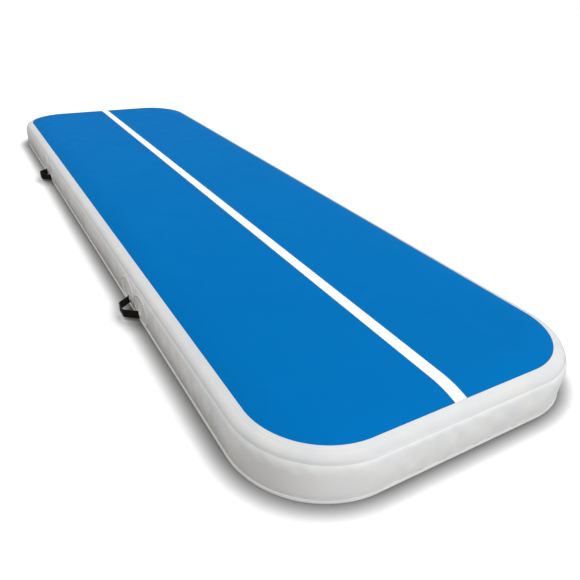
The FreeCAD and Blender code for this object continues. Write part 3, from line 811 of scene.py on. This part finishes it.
def handle_patch(side, end, half):
    """One moulded patch. Its place is its CAD node's; the slot lies at the strap's root."""
    handle = "handle_" + side + "_" + end
    node = handle + "_patch_" + half
    low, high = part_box(node)
    middle = middle_y(handle + "_strap")
    way = -1 if half == "front" else 1
    angles = around(96)
    slot = (STRAP_THICK / 2 + 2 * SLOT_CLEAR, STRAP_WIDTH / 2 + SLOT_CLEAR)
    hole = slot_outline((middle + way * ROOT_HALF, HANDLE_Z), slot, angles)
    centre = ((low.y + high.y) / 2, (low.z + high.z) / 2)
    rim = ellipse(centre, ((high.y - low.y) / 2, (high.z - low.z) / 2), angles)
    shares = [0.0, 0.004, 0.03] + spread(0.06, 1.0, 54)
    name = handle + "_patch_plate_" + half
    return patch_piece(name, WALLS[side], hole, rim, handle_profile, PATCH_LOOK, shares), node


def valve_profile(t):
    """Height of the valve's patch above the skin: flat, with a raised outline."""
    plate = GLUE + VALVE_PATCH_THICK
    return plate + 0.8 * MM * bump(t, 0.9, 0.08) - 1.2 * MM * smooth_step(t, 0.95, 1.0)


def valve_patch():
    centre = (VALVE_CENTRE.x, WALL_MID)
    nut_low, nut_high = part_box("valve_nut")
    hole_r = (nut_high.x - nut_low.x) / 2 * 0.74  # just outside the barrel
    rim_r = (VALVE_HIGH.x - VALVE_LOW.x) / 2
    hole = ellipse(centre, (hole_r, hole_r), around(64))
    rim = ellipse(centre, (rim_r, rim_r), around(64))
    shares = spread(0, 1, 24)
    return patch_piece("valve_ring_patch", WALLS["far"], hole, rim, valve_profile, PATCH_LOOK, shares)


# ---- Webbing handles ---------------------------------------------------------------------------------
def rounded_route(corners, bend, step):
    """(point, tangent) every step along a flat path whose corners are rounded."""
    found = []
    at = corners[0]
    for i in range(1, len(corners) - 1):
        before = (corners[i] - corners[i - 1]).normalized()
        after = (corners[i + 1] - corners[i]).normalized()
        angle = before.angle(after)
        setback = bend * math.tan(angle / 2)
        enter = corners[i] - before * setback
        count = max(1, round((enter - at).length / step))
        found += [(at.lerp(enter, k / count), before) for k in range(count)]
        left = Vector((-before.y, before.x, 0))
        way = 1 if left.dot(after) > 0 else -1
        centre = enter + left * bend * way
        count = max(2, round(bend * angle / step))
        for k in range(count):
            turn = Matrix.Rotation(way * angle * k / count, 3, "Z")
            found.append((centre + turn @ (enter - centre), turn @ before))
        at = corners[i] + after * setback
    last = (corners[-1] - corners[-2]).normalized()
    count = max(1, round((corners[-1] - at).length / step))
    found += [(at.lerp(corners[-1], k / count), last) for k in range(count + 1)]
    return found


def webbing(side, end):
    """One strap loop with its ends in the patches, woven in ribs, with a bound edge."""
    name = "handle_" + side + "_" + end
    low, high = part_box(name + "_strap")
    middle = (low.y + high.y) / 2
    way = 1 if side == "right" else -1
    reach = max(abs(low.x), abs(high.x)) - STRAP_THICK / 2
    wall = HALF_WIDTH + STRAP_START * 0.2
    corners = [
        Vector((way * wall, middle - ROOT_HALF, 0)),
        Vector((way * reach, middle - GRIP_HALF, 0)),
        Vector((way * reach, middle + GRIP_HALF, 0)),
        Vector((way * wall, middle + ROOT_HALF, 0)),
    ]
    start = HALF_WIDTH + STRAP_START
    step = 1.5 * MM
    route = [(p, t) for p, t in rounded_route(corners, STRAP_BEND, step) if abs(p.x) >= start]
    rows = 44
    rib = STRAP_WIDTH / 22
    bound_from = STRAP_WIDTH * 0.485  # the strap thins from here to its edge
    loops = []
    for index, (point, tangent) in enumerate(route):
        sideways = Vector((-tangent.y, tangent.x, 0))
        loop = []
        for face in (1, -1):
            for k in range(rows + 1):
                z = (k / rows - 0.5) * STRAP_WIDTH * face
                thick = STRAP_THICK / 2 * (1 - 0.75 * smooth_step(abs(z), bound_from, STRAP_WIDTH / 2))
                weave = math.cos(2 * math.pi * z / rib) * 0.10 * MM
                weave += math.cos(math.pi * (index / 1.5 + abs(z) / rib)) * 0.08 * MM
                out = sideways * face * (thick + weave - 0.15 * MM)
                loop.append(point + out + Vector((0, 0, HANDLE_Z + z)))
        loops.append(loop)
    return mesh_piece(name + "_webbing", *loft(loops, False), WEBBING, 75)


# ---- Valve -------------------------------------------------------------------------------------------
def coil_spring():
    """Wire helix between the guide and the button."""
    low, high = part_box("valve_spring")
    centre = (low + high) / 2
    wire = 0.4 * MM
    radius = (high.x - low.x) / 2 - wire
    turns, steps = 4, 128
    loops = []
    for k in range(steps + 1):
        angle = 2 * math.pi * turns * k / steps
        out = Vector((math.cos(angle), 0, math.sin(angle)))
        y = low.y + wire + (high.y - low.y - 2 * wire) * k / steps
        middle = Vector((centre.x, y, centre.z)) + out * radius
        ring = [out * wire * math.cos(a) + Vector((0, wire * math.sin(a), 0)) for a in around(8)]
        loops.append([middle + p for p in ring])
    return mesh_piece("coil_spring", *loft(loops, False), STEEL)


# ---- Floor, light and camera -------------------------------------------------------------------------
CONTACT_REACH = 125 * MM


def floor():
    """White studio floor with a painted contact shadow: it grows darker close to what stands on it."""
    size = 40.0
    points = [Vector((x * size, y * size, 0)) for x, y in ((-1, -1), (1, -1), (1, 1), (-1, 1))]
    material, tree, shader = new_material("floor_white", grey(1.0), 0.9, 0.0)
    shader.inputs["Emission Strength"].default_value = 0.14
    contact = add_node(tree, "ShaderNodeAmbientOcclusion", {"samples": 16}, {"Distance": CONTACT_REACH})
    stops = [(0.45, grey(0.13)), (0.72, grey(0.5)), (0.97, grey(1.0))]
    shade = add_ramp(tree, contact.outputs["AO"], stops)
    # Painted shadow: the ramp darkens the floor's colour and its glow close to the mat.
    tree.links.new(shade, shader.inputs["Base Color"])
    tree.links.new(shade, shader.inputs["Emission Color"])
    piece = mesh_piece("floor", points, [(0, 1, 2, 3)], material)
    piece.visible_diffuse = False
    piece.visible_glossy = False


def sky(below, level, middle, above):
    """Cool white from above, dimmer towards the horizon, warmer from below; white to the camera."""
    world = bpy.data.worlds.new("studio")
    bpy.context.scene.world = world
    world.use_nodes = True
    tree = world.node_tree
    shade = tree.nodes["Background"]
    where = add_node(tree, "ShaderNodeTexCoord")
    split = add_node(tree, "ShaderNodeSeparateXYZ")
    tree.links.new(where.outputs["Generated"], split.inputs["Vector"])
    stops = [(0.0, below), (0.02, level), (0.35, middle), (1.0, above)]
    ramp = add_ramp(tree, split.outputs["Z"], stops)
    ray = add_node(tree, "ShaderNodeLightPath")
    backdrop = add_node(tree, "ShaderNodeMix", {"data_type": "RGBA"}, {"B": (1, 1, 1, 1)})
    tree.links.new(ray.outputs["Is Camera Ray"], backdrop.inputs["Factor"])
    tree.links.new(ramp, backdrop.inputs["A"])
    tree.links.new(backdrop.outputs["Result"], shade.inputs["Color"])
    shade.inputs["Strength"].default_value = 1.0


def sun(name, strength, azimuth, elevation, spread_angle, tint=(1, 1, 1)):
    """Soft directional light that comes from a direction round the mat."""
    light = bpy.data.lights.new(name, "SUN")
    light.energy = strength
    light.color = tint
    light.angle = math.radians(spread_angle)
    lamp = bpy.data.objects.new(name, light)
    bpy.context.scene.collection.objects.link(lamp)
    a, e = math.radians(azimuth), math.radians(elevation)
    towards = Vector((math.cos(a), math.sin(a), 0)) * math.cos(e) + Vector((0, 0, math.sin(e)))
    lamp.rotation_mode = "QUATERNION"
    lamp.rotation_quaternion = towards.to_track_quat("Z", "Y")


def camera():
    """Stands off the near left corner at a grown-up's eye height, looking down the mat."""
    at = Vector((-1.574, -4.112, 1.743))
    yaw, pitch, roll = 0.5459, 0.5114, -0.0442
    level = Vector((math.sin(yaw), math.cos(yaw), 0))
    forward = level * math.cos(pitch) - Vector((0, 0, math.sin(pitch)))
    right = Vector((math.cos(yaw), -math.sin(yaw), 0))
    down = forward.cross(right)
    right_rolled = right * math.cos(roll) + down * math.sin(roll)
    down_rolled = down * math.cos(roll) - right * math.sin(roll)
    data = bpy.data.cameras.new("camera")
    data.sensor_width = 36.0
    data.lens = 35.126
    lens = bpy.data.objects.new("camera", data)
    turn = Matrix((right_rolled, -down_rolled, -forward)).transposed()
    lens.matrix_world = Matrix.Translation(at) @ turn.to_4x4()
    bpy.context.scene.collection.objects.link(lens)
    bpy.context.scene.camera = lens


# ---- Put together ------------------------------------------------------------------------------------
def add(piece, body, slot, *nodes):
    """Piece that rides a body and stands for some CAD nodes."""
    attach(piece, body)
    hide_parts(*nodes)
    return piece


def mat_pieces():
    wall = add(side_wall(), "mat", "white_wall", "sidewall_outer")
    add(inner_wall(), "mat", "white_wall", "sidewall_inner")
    add(top_panel(), "mat", "blue_top", "top_sheet")
    add(centre_band(), "mat", "white_stripe", "centre_stripe")
    add(underside(), "mat", "grey_underside", "bottom_sheet")
    add(seam_tape(), "mat", "white_tape", "top_seam_tape")
    add(rim_strip(), "mat", "white_tape", "bottom_edge_strip")
    top, bottom = lap_strips()
    add(top, "mat", "white_tape", "top_lap_strip")
    add(bottom, "mat", "white_tape", "bottom_lap_strip")
    add(yarns(), "mat", "yarn", "drop_stitch_yarns")


def handle_pieces():
    for side, way in (("left", -1), ("right", 1)):
        for end in ("front", "back"):
            for half in ("front", "back"):
                piece, node = handle_patch(side, end, half)
                add(piece, "mat", "moulded_patch", node)
            body = "handle_" + side + "_" + end
            strap = webbing(side, end)
            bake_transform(strap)
            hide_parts(body + "_strap", body + "_strap_ends")


def valve_pieces():
    add(valve_patch(), "mat", "moulded_patch", "valve_patch")
    spring = add(coil_spring(), "mat", "spring_steel", "valve_spring")
    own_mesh(spring)
    looks = {
        "valve_base": PLASTIC, "valve_nut": PLASTIC, "valve_stem": PLASTIC, "valve_cap": PLASTIC,
        "valve_gasket": RUBBER, "valve_poppet": RUBBER, "cap_seal": RUBBER, "cap_tether": PLASTIC,
    }
    for node, look in looks.items():
        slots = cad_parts[node].data.materials
        if not slots:
            slots.append(look)
        for index in range(len(slots)):
            slots[index] = look


mat_pieces()
handle_pieces()
valve_pieces()
floor()
sky((0.15, 0.14, 0.13), (0.50, 0.49, 0.48), (0.63, 0.63, 0.63), (0.72, 0.725, 0.735))
sun("key", 1.05, 25, 56, 40)
sun("left_fill", 0.6, 188, 46, 60, (1.0, 0.985, 0.96))
sun("front_fill", 2.0, -62, 4, 26, (0.975, 0.99, 1.0))
camera()
bpy.context.scene.view_settings.view_transform = "Standard"
